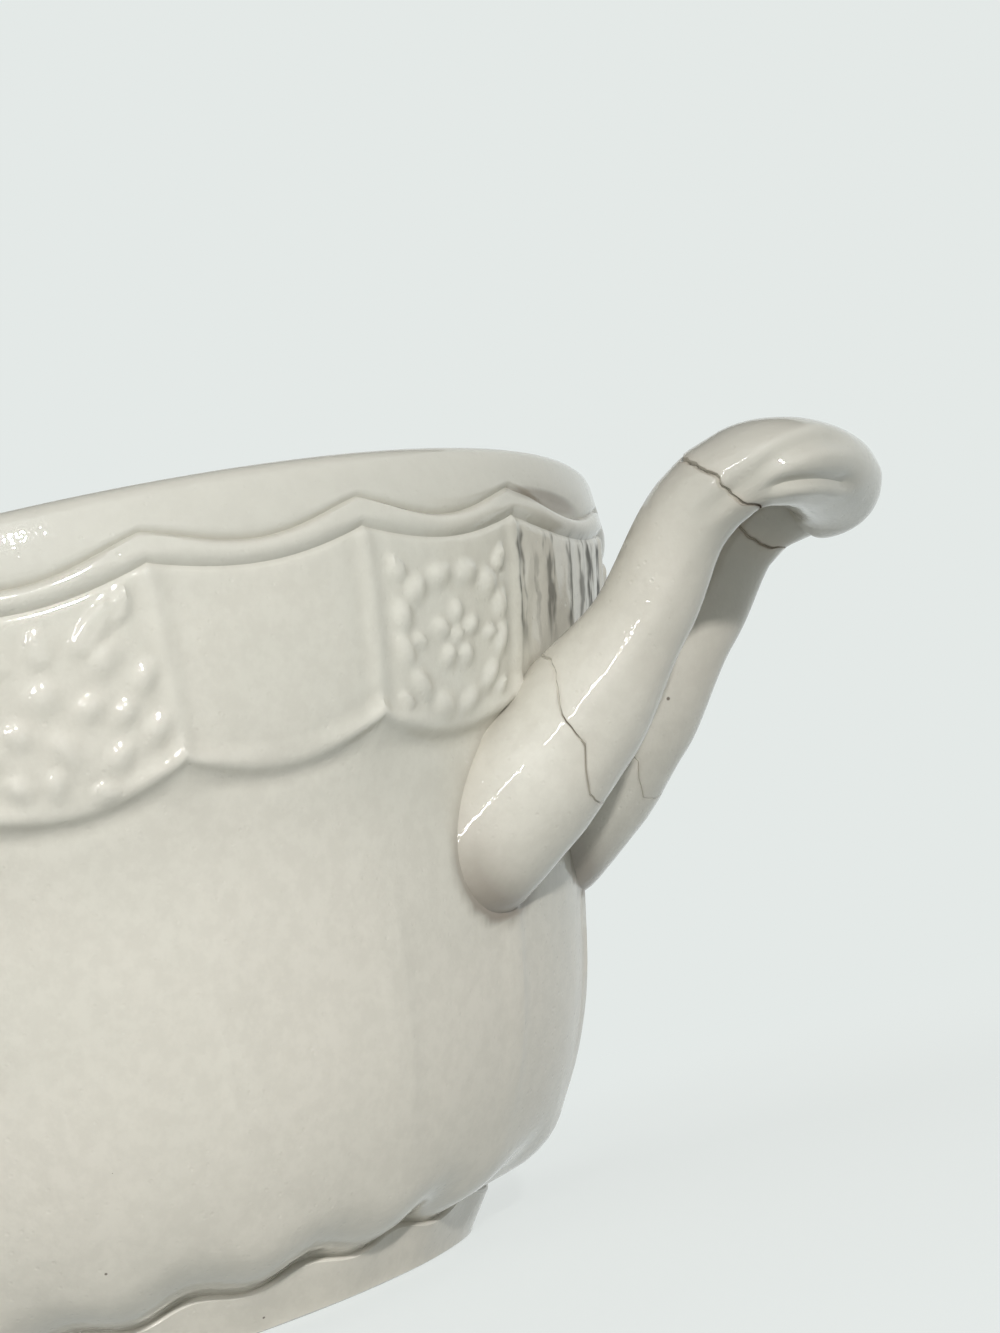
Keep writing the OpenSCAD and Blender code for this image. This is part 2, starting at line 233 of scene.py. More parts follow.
def mouldings(panel, across, z):
    """How far the fired surface stands out from the plain outside."""
    foot, low, high, groove = line_heights(across)
    width = np.radians(PANEL_A[panel]) * PANEL_TOP_R
    edge = np.minimum(across, 1 - across) * width
    side = (across - 0.5) * width
    over = z - low
    below = np.clip((z - foot) / (low - foot), 0, 1)
    rib = 0.26 * bump_at(edge - 1.7, 1.0) + 0.16 * bump_at(edge, 4.5)
    rib = rib * np.where(panel % 10 == 0, 1.7, 1.0)
    rise = rib * np.sin(np.pi * np.minimum(1, below * 1.08)) ** 1.5 * (z < low)
    rise -= 0.25 * bump_at(over + 1.4, 1.2)
    roll_width = np.where(over < 0.9, 0.8, 1.5)
    rise += 0.85 * bump_at(over - 0.9, roll_width)
    rise -= 0.12 * bump_at(over - 4.2, 1.1)
    field = smooth_step(over, -0.4, 0.6) * smooth_step(high - z, -0.2, 0.5)
    rise += field * (0.15 - 0.12 * np.sin(np.pi * across) * (panel % 2 == 0))
    ridge_top = smooth_step(high - z, -0.5, 1.5) * smooth_step(over, -1.5, 0.5)
    rise += ridge_top * (0.34 * bump_at(edge, 1.2) - 0.16 * bump_at(edge - 2.7, 1.2))
    t = np.clip((z - high) / (groove - high), 0, 1)
    rise += 0.75 * np.sin(np.pi * t) ** 0.8
    rise -= 0.3 * bump_at(z - high, 0.7)
    rise -= 0.6 * bump_at(z - groove, 0.48)
    handle_panel = panel % 10 == 0
    ripple = np.sin(side * 1.45 + 1.1 * np.sin(over / 5.0)) + 0.7 * np.sin(side * 2.4 + over / 9)
    rise += np.where(handle_panel, 0.17 * ripple * field * smooth_step(edge, 1.0, 3.0), 0)
    hollow = bump_at(across - 0.36, 0.25) * bump_at(z - groove - 1.2, 1.3)
    rise -= np.where(handle_panel, 0.9 * hollow, 0)
    flowered = panel % 2 == 1
    for kind, fruit, leaves in (
        (1, CLUSTER_FRUIT, CLUSTER_LEAVES), (3, WREATH_FRUIT, WREATH_LEAVES)
    ):
        chosen = flowered & (np.mod(np.where(panel < 10, panel + 2, panel), 4) == kind)
        chosen &= (z > low - 1) & (z < high + 1)
        squeeze = 32.8 / width[chosen]
        rise[chosen] += relief_height(side[chosen] * squeeze, over[chosen], fruit, leaves)
    return rise


# ---- Rows of the body, from the middle of the recess to the middle of the floor inside ----
FLOOR_Z = RECESS_H + WALL
CORNER_R = 16.0
LINE_STEPS = [-1.6, -1.0, -0.6, -0.3, 0.0, 0.3, 0.6, 1.0, 1.5]


def body_rows():
    """(radius, height) of each row at the side edge of a panel."""
    rows = [(0, RECESS_H), (20, RECESS_H), (FOOT_R - FOOT_FACE_W - 2.2, RECESS_H)]
    rows += [(FOOT_R - FOOT_FACE_W - 1.2, RECESS_H - 0.7), (FOOT_R - FOOT_FACE_W - 0.5, 0.5)]
    rows += [(FOOT_R - FOOT_FACE_W, 0), (FOOT_R - 0.9, 0), (FOOT_R - 0.3, 0.25), (FOOT_R, 0.9)]
    side = WAIST_R - 0.1
    rows += [(mix(FOOT_R, side, t), mix(0.9, FOOT_H - 1.3, t)) for t in (0.2, 0.4, 0.6, 0.8, 1)]
    rows += [(side - 0.05, FOOT_H - 0.8), (side - 0.35, FOOT_H - 0.35)]
    heights = list(np.concatenate([
        FOOT_H + np.array([0.0, 0.5, 1.1, 2, 3.2, 4.6, 6, 7.6]),
        np.arange(FOOT_H + 10, PANEL_FOOT_Z - 6, 2.6),
        [PANEL_FOOT_Z - 4.6, PANEL_FOOT_Z - 3.4, PANEL_FOOT_Z - 2.4],
        [PANEL_FOOT_Z + s for s in LINE_STEPS],
        np.arange(PANEL_FOOT_Z + 2.0, PANEL_TOP_Z - 1.9, 0.58),
        [PANEL_TOP_Z + s for s in LINE_STEPS],
        [PANEL_TOP_Z + 2.05],
        [GROOVE_Z + s for s in LINE_STEPS],
        [GROOVE_Z + 2.6],
    ]))
    rows += [(float(outside_r(z)), z) for z in heights]
    rows += [
        (RIM_R - LIP_R * (1 - math.cos(a)), RIM_H - LIP_R * (1 - math.sin(a)))
        for a in np.radians([0, 25, 50, 72, 90])
    ]
    inner = 1.6
    rows += [
        (RIM_R - WALL + inner * (1 - math.sin(a)), RIM_H - inner * (1 - math.cos(a)))
        for a in np.radians([0, 30, 60, 90])
    ]
    bottom = FLOOR_Z + CORNER_R
    rows += [(float(outside_r(z)) - WALL, z) for z in np.linspace(RIM_H - 4, bottom, 24)]
    corner = float(outside_r(bottom)) - WALL - CORNER_R
    rows += [
        (corner + CORNER_R * math.sin(a), FLOOR_Z + CORNER_R * (1 - math.cos(a)))
        for a in np.radians([75, 60, 45, 30, 15, 0])
    ]
    return rows + [(corner * 0.6, FLOOR_Z), (corner * 0.25, FLOOR_Z), (0, FLOOR_Z)]


BAND_LOW = PANEL_FOOT_Z - 2.0
BAND_HIGH = GROOVE_Z + 1.2


def places(bm):
    return np.array([v.co for v in bm.verts])


def move_to(bm, points):
    for v, p in zip(bm.verts, points):
        v.co = p


def make_body():
    """The bowl without its handles, as one closed skin spun from its outline."""
    bm = bmesh.new()
    line = [bm.verts.new((r, 0, z)) for r, z in body_rows()]
    edges = [bm.edges.new(pair) for pair in zip(line, line[1:])]
    bmesh.ops.spin(
        bm, geom=line + edges, cent=(0, 0, 0), axis=(0, 0, 1), dvec=(0, 0, 0),
        angle=2 * math.pi, steps=BODY_COLUMNS, use_merge=True, use_duplicate=False,
    )
    bmesh.ops.remove_doubles(bm, verts=bm.verts, dist=1e-4)
    finer = [
        e for e in bm.edges
        if abs(e.verts[0].co.z - e.verts[1].co.z) < 1e-4
        and BAND_LOW < e.verts[0].co.z < BAND_HIGH
        and abs(e.verts[0].co.xy.length - e.verts[1].co.xy.length) < 1e-3
        and e.verts[0].co.xy.length > outside_r(e.verts[0].co.z) - 1
    ]
    bmesh.ops.subdivide_edges(bm, edges=finer, cuts=1)

    p = places(bm)
    radius = np.hypot(p[:, 0], p[:, 1])
    step = 360 / BAND_COLUMNS
    turn = np.round(np.degrees(np.arctan2(p[:, 1], p[:, 0])) / step).astype(int)
    panel, across, angle = column_place(turn)
    outside = (p[:, 2] > FOOT_H - 0.2) & (radius > outside_r(p[:, 2]) - 1)
    outside &= p[:, 2] < RIM_H - LIP_R - 0.01
    foot = ~outside & (p[:, 2] < FOOT_H) & (radius > FOOT_R - FOOT_FACE_W - 0.1)
    z = p[:, 2].copy()
    foot_line, low, high, groove = line_heights(across)
    lines = [FOOT_H, PANEL_FOOT_Z, PANEL_TOP_Z, GROOVE_Z]
    found = [foot_line, low, high, groove]
    for i in range(3):
        t = (p[:, 2] - lines[i]) / (lines[i + 1] - lines[i])
        inside = outside & (t >= -1e-6) & (t <= 1 + 1e-6)
        z[inside] = mix(found[i], found[i + 1], t)[inside]
    t = np.clip((p[:, 2] - GROOVE_Z) / (RIM_H - LIP_R - GROOVE_Z), 0, 1)
    top = outside & (p[:, 2] > GROOVE_Z)
    z[top] = mix(groove, RIM_H - LIP_R, t)[top]
    z[foot] = (p[:, 2] * foot_line / FOOT_H)[foot]
    drop = (FOOT_H - foot_line) * smooth_step(FOOT_H + 10 - z, 0, 9)
    radius[outside] = (outside_r(z + drop) + mouldings(panel, across, z))[outside]
    radius = np.minimum(radius, RIM_R)
    angle = np.radians(angle)
    on_axis = radius < 1e-4
    p = np.stack([radius * np.cos(angle), radius * np.sin(angle), z], 1)
    p[on_axis, :2] = 0
    move_to(bm, p)
    bmesh.ops.recalc_face_normals(bm, faces=bm.faces)
    return bm


# ---- The handles: a tube along a smooth path, u from 0 at one root to 14 at the other ----
ARM_POINTS = np.array([
    (BELLY_R - 10.5, ROOT_SPREAD, PANEL_FOOT_Z - 19.5),
    (BELLY_R + 0.5, mix(ROOT_SPREAD, ARM_SPREAD, 0.4), PANEL_FOOT_Z - 13),
    (BELLY_R + 11.5, ARM_SPREAD, PANEL_FOOT_Z - 5.5),
    (BELLY_R + 26.5, ARM_SPREAD, PANEL_FOOT_Z + 6.5),
    (HANDLE_REACH - 18.5, mix(ARM_SPREAD, TOP_SPREAD, 0.7), BAR_Z - 3.5),
    (HANDLE_REACH - 8.5, TOP_SPREAD, BAR_Z + 0.8),
    (HANDLE_REACH - 2, TOP_SPREAD * 0.78, BAR_Z + 0.5),
    (HANDLE_REACH, 0, BAR_Z),
])
HALF_WIDTHS = [
    ROOT_R, ROOT_R * 0.97, ROOT_R * 0.84, ARM_R + 0.8, ARM_R + 0.1, ARM_R,
    mix(ARM_R, BAR_W, 0.5), BAR_W,
]
HALF_HEIGHTS = [
    ROOT_R * 0.97, ROOT_R * 0.94, ROOT_R * 0.84, ARM_R + 0.6, ARM_R - 0.1, BAR_H, BAR_H, BAR_H,
]
MIDDLE_U = len(ARM_POINTS) - 1
LAST_U = 2 * MIDDLE_U
NEAR_HALF = ARM_POINTS * (1, -1, 1)
PATH_POINTS = np.concatenate([NEAR_HALF, ARM_POINTS[-2::-1]])
PATH_POINTS = np.concatenate([
    [2 * PATH_POINTS[0] - PATH_POINTS[1]], PATH_POINTS, [2 * PATH_POINTS[-1] - PATH_POINTS[-2]]
])


def path_at(u):
    """Places on the handle's middle line."""
    i = np.clip(np.floor(u).astype(int), 0, LAST_U - 1)
    t = (u - i)[..., None]
    a, b, c, d = (PATH_POINTS[i + k] for k in range(4))
    return 0.5 * (
        2 * b + (c - a) * t + (2 * a - 5 * b + 4 * c - d) * t**2 + (3 * b - a - 3 * c + d) * t**3
    )


def path_frame(u):
    """Place, way, side and up on the middle line."""
    way = path_at(np.minimum(u + 0.01, LAST_U)) - path_at(np.maximum(u - 0.01, 0))
    way /= np.linalg.norm(way, axis=-1, keepdims=True)
    side = np.cross((0, 0, 1), way)
    side /= np.linalg.norm(side, axis=-1, keepdims=True)
    return path_at(u), way, side, np.cross(way, side)


def sizes_at(values, u):
    v = np.minimum(u, LAST_U - u)
    i = np.clip(np.floor(v).astype(int), 0, MIDDLE_U - 1)
    t = v - i
    values = np.array(values)
    return mix(values[i], values[i + 1], (3 - 2 * t) * t**2)


# Each crack as half width, depth, colour strength and a closed line of (angle, u) round the arm
CRACKS = [
    dict(half=0.18, depth=0.35, strength=0.85, jag=0.022, line=[
        (103, 2.27), (125, 2.31), (144, 2.31), (165, 2.18), (181, 2.03), (198, 1.93),
        (208, 1.88), (219, 1.67), (236, 1.46), (258, 1.45), (278, 1.52), (330, 1.8), (400, 2.12),
    ]),
    dict(half=0.34, depth=0.7, strength=1.0, jag=0.03, line=[
        (126, 4.52), (154, 4.64), (180, 4.75), (201, 4.77), (226, 4.79), (262, 5.05),
        (310, 4.96), (360, 4.72), (430, 4.52),
    ]),
    dict(half=0.24, depth=0.45, strength=1.0, jag=0.03, line=[
        (60, 9.80), (120, 9.62), (180, 9.58), (240, 9.60), (275, 9.66), (300, 9.84), (318, 9.93),
        (337, 9.94), (356, 9.92),
    ]),
    dict(half=0.11, depth=0.18, strength=0.45, jag=0.02, line=[
        (40, 12.03), (120, 12.28), (200, 12.52), (286, 12.58), (300, 12.4), (313, 12.22),
        (350, 12.07),
    ]),
]
SIDES = 64
PLAIN_STEP = 0.11
CRACK_REACH = 1.2


def crack_u(crack, angle, number):
    """Where a crack's jagged line lies along the handle at each angle."""
    angles, at = np.array(crack["line"]).T
    line = np.interp(angle, np.concatenate([angles - 360, angles, angles + 360]), np.tile(at, 3))
    dice = random.Random(40 + number)
    jag = np.array([dice.uniform(-1, 1) for _ in range(SIDES)])
    jag = 0.6 * jag + 0.4 * np.roll(jag, 1)
    place = np.mod(angle, 360) / 360 * SIDES
    first = np.floor(place).astype(int) % SIDES
    return line + crack["jag"] * mix(jag[first], jag[(first + 1) % SIDES], place - np.floor(place))


def ring_list(cracks):
    """Each ring as (plain u, crack number or -1, distance from the crack in millimetres)."""
    rings = [(u, -1, 0.0) for u in np.arange(-1, LAST_U + 1.001, PLAIN_STEP)]
    rings = [r for r in rings if -0.93 < r[0] < LAST_U + 0.93]
    for number, crack in enumerate(cracks):
        middle = np.mean([u for _, u in crack["line"]])
        span = 0.32
        rings = [r for r in rings if abs(r[0] - middle) > span]
        half = crack["half"]
        steps = [-CRACK_REACH, -0.6, -half, 0.0, half, 0.6, CRACK_REACH]
        rings += [(middle + 0.02 * d, number, d) for d in steps]
    return sorted(rings)


MM_PER_U = 11.5


def bar_flutes(u, angle):
    """Depth of the flute and the thumb hollow pressed into the outer side of the end bar."""
    v = np.abs(u - MIDDLE_U)
    flute_at = 172 + 40 * smooth_step(v, 1.0, 2.1)
    flute = 0.7 * bump_at(angle - flute_at, 12) * smooth_step(v, 0.35, 0.9)
    flute *= 1 - smooth_step(v, 2.0, 3.0)
    land = bump_at(angle - flute_at + 20, 10) + bump_at(angle - flute_at - 20, 9)
    land *= 0.2 * smooth_step(v, 0.3, 0.8) * (1 - smooth_step(v, 1.9, 3.2))
    below = np.where(angle > 229, 6.5, 13)
    thumb = 1.2 * bump_at(angle - 229, below)
    thumb *= smooth_step(MIDDLE_U - u, 0.1, 0.5) * (1 - smooth_step(v, 1.25, 1.9))
    lip = 0.25 * bump_at(angle - 245, 7)
    lip *= smooth_step(MIDDLE_U - u, 0.1, 0.5) * (1 - smooth_step(v, 1.4, 2))
    return flute + thumb - lip - land


def make_handle(cracks):
    """One handle as a closed tube, bent along its path from a straight one."""
    rings = ring_list(cracks)
    bm = bmesh.new()
    bmesh.ops.create_circle(bm, segments=SIDES, radius=1, cap_ends=False)
    bmesh.ops.spin(
        bm, geom=bm.verts[:] + bm.edges[:], cent=(0, 0, 0), axis=(0, 0, 1), dvec=(0, 0, 1),
        angle=0, steps=len(rings) - 1, use_merge=False, use_duplicate=False,
    )
    p = places(bm)
    ring = np.round(p[:, 2]).astype(int)
    angle = np.mod(np.round(np.degrees(np.arctan2(p[:, 1], p[:, 0])) / (360 / SIDES)), SIDES)
    angle = angle * 360 / SIDES
    plain_u, number, offset = (np.array(column)[ring] for column in zip(*rings))
    number = number.astype(int)

    middles = [0.0] + [float(np.mean([u for _, u in c["line"]])) for c in cracks] + [LAST_U]
    moved = [np.zeros_like(angle)] + [crack_u(c, angle, n) for n, c in enumerate(cracks)]
    moved += [np.full_like(angle, LAST_U)]
    u = plain_u.copy()
    for i in range(len(middles) - 1):
        gap = middles[i + 1] - middles[i]
        t = (plain_u - middles[i]) / gap
        between = (number < 0) & (t >= 0) & (t <= 1)
        keep = 0.12 / np.maximum(moved[i + 1] - moved[i], 0.1)
        start = 0 if i == 0 else keep
        stop = 1 if i == len(middles) - 2 else 1 - keep
        u[between] = mix(moved[i], moved[i + 1], mix(start, stop, t))[between]
    for n in range(len(cracks)):
        u = np.where(number == n, moved[n + 1] + offset / MM_PER_U, u)

    inside_u = np.clip(u, 0, LAST_U)
    centre, way, side, up = path_frame(inside_u)
    width = sizes_at(HALF_WIDTHS, inside_u)
    height = sizes_at(HALF_HEIGHTS, inside_u)
    past = np.where(u < 0, -u, np.where(u > LAST_U, u - LAST_U, 0))
    dome = np.pi / 2 * past
    centre = centre + (np.sign(u - MIDDLE_U) * ROOT_R * np.sin(dome))[:, None] * way
    cut = np.zeros_like(u)
    proud = np.zeros_like(u)
    for n, crack in enumerate(cracks):
        cut += np.where((number == n) & (offset == 0), crack["depth"], 0)
        cut += np.where((number == n) & (np.abs(offset) == crack["half"]), 0.03, 0)
        after = (u - moved[n + 1]) * MM_PER_U
        slipped = np.where((after > 0.1) & (number != n) | ((number == n) & (offset > 0)), 1, 0)
        if n == 1:
            proud += slipped * np.exp(-np.maximum(after, 0) / 9) * 0.3 * bump_at(angle - 130, 45)
    ridge_at = 186 + 19 * (u - 1.8)
    along = smooth_step(u, 1.3, 2.2) * (1 - smooth_step(u, 3.2, 4.2))
    proud += 0.45 * bump_at(angle - ridge_at, 15) * along
    sag = BAR_SAG * bump_at(u - 8.3, 0.95) * np.maximum(0, np.cos(np.radians(angle - 240)))
    cut += bar_flutes(u, angle) - proud - sag
    a = np.radians(angle)
    across = ((width - cut) * np.cos(dome) * np.cos(a))[:, None] * side
    rise = ((height - cut) * np.cos(dome) * np.sin(a))[:, None] * up
    move_to(bm, centre + across + rise)
    ends = [e for e in bm.edges if e.is_boundary]
    bmesh.ops.holes_fill(bm, edges=ends, sides=SIDES)
    bmesh.ops.recalc_face_normals(bm, faces=bm.faces)
    return bm


def make_core():
    """The round core under the outside that the handles' roots are cut back to."""
    low, high = FOOT_H + SIDE_H * 0.3, PANEL_FOOT_Z + 2
    bm = bmesh.new()
    heights = np.linspace(low, high, 11)
    line = [(0, low)] + [(float(outside_r(z)) - WALL / 2, z) for z in heights] + [(0, high)]
    verts = [bm.verts.new((r, 0, z)) for r, z in line]
    edges = [bm.edges.new(pair) for pair in zip(verts, verts[1:])]
    bmesh.ops.spin(
        bm, geom=verts + edges, cent=(0, 0, 0), axis=(0, 0, 1), dvec=(0, 0, 0),
        angle=2 * math.pi, steps=180, use_merge=True, use_duplicate=False,
    )
    bmesh.ops.remove_doubles(bm, verts=bm.verts, dist=1e-4)
    bmesh.ops.recalc_face_normals(bm, faces=bm.faces)
    return bm


def shown(bm, name):
    """Turns a bmesh into an object of the scene."""
    mesh = bpy.data.meshes.new(name)
    bm.to_mesh(mesh)
    bm.free()
    piece = bpy.data.objects.new(name, mesh)
    bpy.context.scene.collection.objects.link(piece)
    return piece


def combine(piece, other, how):
    """Joins to or cuts from a piece another closed shape, which is then used up."""
    step = piece.modifiers.new("combine", "BOOLEAN")
    step.object = other
    step.operation = how
    step.solver = "MANIFOLD"
    graph = bpy.context.evaluated_depsgraph_get()
    mesh = bpy.data.meshes.new_from_object(piece.evaluated_get(graph))
    piece.modifiers.clear()
    old = piece.data
    piece.data = mesh
    bpy.data.meshes.remove(old)
    bpy.data.objects.remove(other)


def make_bowl():
    """Body and handles as one closed piece of glazed earthenware, in millimetres."""
    piece = shown(make_body(), "bowl_glazed")
    for turn, cracks in ((0, CRACKS), (math.pi, [])):
        bm = make_handle(cracks)
        bmesh.ops.rotate(
            bm, cent=(0, 0, 0), matrix=Matrix.Rotation(turn, 3, "Z"), verts=bm.verts
        )
        handle = shown(bm, "handle")
        combine(handle, shown(make_core(), "core"), "DIFFERENCE")
        combine(piece, handle, "UNION")
    return piece


# ---- What the glaze follows: crack lines, hollows and edges, kept as point attributes ----
def crack_points():
    """Places on every crack's line, with its number, angle and strength."""
    found = []
    for number, crack in enumerate(CRACKS):
        angle = np.arange(0, 360, 0.5)
        u = crack_u(crack, angle, number)
        centre, _, side, up = path_frame(u)
        a = np.radians(angle)
        width, height = sizes_at(HALF_WIDTHS, u), sizes_at(HALF_HEIGHTS, u)
        points = centre + (width * np.cos(a))[:, None] * side + (height * np.sin(a))[:, None] * up
        found += [(Vector(p), crack["strength"], crack["half"]) for p in points]
    return found


def add_attribute(mesh, name, values):
    layer = mesh.attributes.new(name, "FLOAT", "POINT")
    layer.data.foreach_set("value", np.clip(values, 0, 1).astype(np.float32))


def root_joint(points):
    """1 on the line where a handle's root meets the body, fading over a few millimetres."""
    folded = np.abs(points[:, :2])
    q = np.column_stack([folded, points[:, 2]])
    u = np.arange(LAST_U - 2.5, LAST_U + 0.001, 0.05)
    centre, way, side, up = path_frame(u)
    nearest = np.zeros(len(q), int)
    found = np.full(len(q), 1e9)
    for i, c in enumerate(centre):
        distance = np.linalg.norm(q - c, axis=1)
        nearest = np.where(distance < found, i, nearest)
        found = np.minimum(found, distance)
    away = q - centre[nearest]
    parts = [np.einsum("ij,ij->i", away, axes[nearest]) for axes in (side, up, way)]
    width, height = sizes_at(HALF_WIDTHS, u)[nearest], sizes_at(HALF_HEIGHTS, u)[nearest]
    past = np.where(nearest == len(u) - 1, np.maximum(parts[2], 0), 0)
    reach = np.sqrt((parts[0] / width) ** 2 + (parts[1] / height) ** 2 + (past / ROOT_R) ** 2)
    over_root = np.maximum(reach - 1, 0) * ROOT_R
    over_body = np.abs(np.hypot(q[:, 0], q[:, 1]) - outside_r(q[:, 2]))
    over_body = np.maximum(over_body - 0.6, 0)
    return np.exp(-over_root / 1.4 - over_body / 4.8) * (found < 30)


def mark_surface(mesh):
    """Stores how near each point is to a crack, and how deep in a hollow or proud it is."""
    count = len(mesh.vertices)
    points = np.empty(count * 3)
    mesh.vertices.foreach_get("co", points)
    points = points.reshape(-1, 3)
    lines = crack_points()
    tree = KDTree(len(lines))
    for i, (p, _, _) in enumerate(lines):
        tree.insert(p, i)
    tree.balance()
    crack = np.zeros(count)
    stain = np.zeros(count)
    for i in np.nonzero((points[:, 0] > BELLY_R - 8) & (points[:, 2] > PANEL_FOOT_Z - 40))[0]:
        _, at, distance = tree.find(points[i])
        strength, half = lines[at][1:]
        crack[i] = strength * max(0.0, 1.25 - distance / max(half, 0.12))
        stain[i] = strength * math.exp(-((distance / 1.1) ** 2))
    add_attribute(mesh, "crack", crack)
    add_attribute(mesh, "stain", stain)

    add_attribute(mesh, "joint", root_joint(points))

    normals = np.empty(count * 3)
    mesh.vertex_normals.foreach_get("vector", normals)
    normals = normals.reshape(-1, 3)
    pairs = np.empty(len(mesh.edges) * 2, int)
    mesh.edges.foreach_get("vertices", pairs)
    a, b = pairs.reshape(-1, 2).T
    across = points[b] - points[a]
    length = np.maximum(np.linalg.norm(across, axis=1), 0.05)
    bend = np.zeros(count)
    weight = np.full(count, 1e-6)
    for first, way in ((a, 1), (b, -1)):
        slope = way * np.einsum("ij,ij->i", across, normals[first]) / length
        np.add.at(bend, first, slope)
        np.add.at(weight, first, 1)
    bend /= weight
    for _ in range(2):
        total, shared = bend.copy(), np.ones(count)
        np.add.at(total, a, bend[b])
        np.add.at(total, b, bend[a])
        np.add.at(shared, a, 1)
        np.add.at(shared, b, 1)
        bend = total / shared
    add_attribute(mesh, "hollow", bend * 5)
    add_attribute(mesh, "edge", -bend * 5)


# ---- Materials ----
class Nodes:
    """Short calls for building one node tree."""

    def __init__(self, tree):
        self.tree = tree

    def add(self, kind, values=None, **settings):
        node = self.tree.nodes.new(kind)
        for name, value in settings.items():
            setattr(node, name, value)
        for name, value in (values or {}).items():
            self.put(value, node.inputs[name])
        return node

    def put(self, value, socket):
        if isinstance(value, bpy.types.NodeSocket):
            self.tree.links.new(value, socket)
        else:
            socket.default_value = value

    def maths(self, kind, a, b=0.0, clamp=False):
        node = self.add("ShaderNodeMath", operation=kind, use_clamp=clamp)
        self.put(a, node.inputs[0])
        self.put(b, node.inputs[1])
        return node.outputs[0]

    def blend(self, factor, a, b, kind="MIX"):
        node = self.add("ShaderNodeMix", data_type="RGBA", blend_type=kind)
        self.put(factor, node.inputs[0])
        self.put(a, node.inputs[6])
        self.put(b, node.inputs[7])
        return node.outputs[2]

    def between(self, value, low, high, to_low=0.0, to_high=1.0):
        names = {"Value": value, "From Min": low, "From Max": high}
        names.update({"To Min": to_low, "To Max": to_high})
        return self.add("ShaderNodeMapRange", names, interpolation_type="SMOOTHSTEP").outputs[0]

    def noise(self, place, scale, detail=3.0, roughness=0.55):
        values = {"Vector": place, "Scale": scale, "Detail": detail, "Roughness": roughness}
        return self.add("ShaderNodeTexNoise", values).outputs[0]


def new_group(name, sockets_in, sockets_out):
    """A shader node group with named inputs and outputs."""
    tree = bpy.data.node_groups.new(name, "ShaderNodeTree")
    for socket, kind, value in sockets_in:
        made = tree.interface.new_socket(name=socket, in_out="INPUT", socket_type=kind)
        made.default_value = value
    for socket, kind in sockets_out:
        tree.interface.new_socket(name=socket, in_out="OUTPUT", socket_type=kind)
    nodes = Nodes(tree)
    return nodes, nodes.add("NodeGroupInput").outputs, nodes.add("NodeGroupOutput").inputs


FLOAT = "NodeSocketFloat"


def clay_specks():
    """Small dark iron specks, the same in the glaze and in the bare clay."""
    nodes, given, out = new_group(
        "iron_specks",
        [("Cell size", FLOAT, 0.009), ("Speck radius", FLOAT, 0.05), ("Share", FLOAT, 0.3)],
        [("Mask", FLOAT)],
    )
    place = nodes.add("ShaderNodeTexCoord").outputs["Object"]
    scale = nodes.maths("DIVIDE", 1.0, given["Cell size"])
    cells = nodes.add("ShaderNodeTexVoronoi", {"Vector": place, "Scale": scale})
    chance = nodes.add("ShaderNodeSeparateColor", {"Color": cells.outputs["Color"]}).outputs
    reach = nodes.maths("MULTIPLY", given["Speck radius"], chance[1])
    near = nodes.maths("SUBTRACT", 1.0, nodes.maths("DIVIDE", cells.outputs["Distance"], reach))
    picked = nodes.maths("LESS_THAN", chance[0], given["Share"])
    mask = nodes.maths("MULTIPLY", nodes.maths("MULTIPLY", near, 3.0, clamp=True), picked)
    nodes.put(nodes.maths("MAXIMUM", mask, 0.0), out["Mask"])
    return nodes.tree


def fired_grain():
    """The slow unevenness and fine pitting of a fired surface, as a height and two masks."""
    nodes, given, out = new_group(
        "fired_grain",
        [("Ripple", FLOAT, 1.0), ("Pits", FLOAT, 1.0)],
        [("Height", FLOAT), ("Cloud", FLOAT), ("Drift", FLOAT), ("Mottle", FLOAT)],
    )
    place = nodes.add("ShaderNodeTexCoord").outputs["Object"]
    slow = nodes.noise(place, 70.0, 2.0)
    fine = nodes.noise(place, 420.0, 2.0)
    peel = nodes.noise(place, 1300.0, 1.0)
    pits = nodes.add("ShaderNodeTexVoronoi", {"Vector": place, "Scale": 520.0})
    hole = nodes.between(pits.outputs["Distance"], 0.04, 0.22, -1.0, 0.0)
    height = nodes.maths("MULTIPLY", slow, 0.9)
    height = nodes.maths("ADD", height, nodes.maths("MULTIPLY", fine, 0.2))
    height = nodes.maths("ADD", height, nodes.maths("MULTIPLY", peel, 0.07))
    height = nodes.maths("MULTIPLY", height, given["Ripple"])
    hole = nodes.maths("MULTIPLY", nodes.maths("MULTIPLY", hole, 0.12), given["Pits"])
    nodes.put(nodes.maths("ADD", height, hole), out["Height"])
    nodes.put(nodes.noise(place, 26.0, 4.0), out["Cloud"])
    nodes.put(nodes.noise(place, 9.0, 2.0), out["Drift"])
    nodes.put(nodes.noise(place, 330.0, 3.0, 0.7), out["Mottle"])
    return nodes.tree


# Each painted reflection streak as its angle and half width in degrees, and how dark it is
REFLECTION_STREAKS = [
    (-11.6, 0.5, 0.9), (-8.8, 0.3, 0.35), (-6.2, 0.8, 0.8), (-1.4, 0.6, 0.85), (2.4, 0.8, 0.8),
    (5.8, 1.0, 1.0), (9.6, 1.1, 1.0),
]
# Heights over which they fade out at the panel's top and foot, and what marks off that panel:
# the outside of the wall, which leans out with height, and how far along X it lies, in metres
STREAK_TOP, STREAK_FOOT = (0.105, 0.107), (0.087, 0.094)
WALL_LEAN, WALL_FOOT_R = 0.265, 0.078
PANEL_NEAR_X, PANEL_FAR_X = 0.08, 0.111


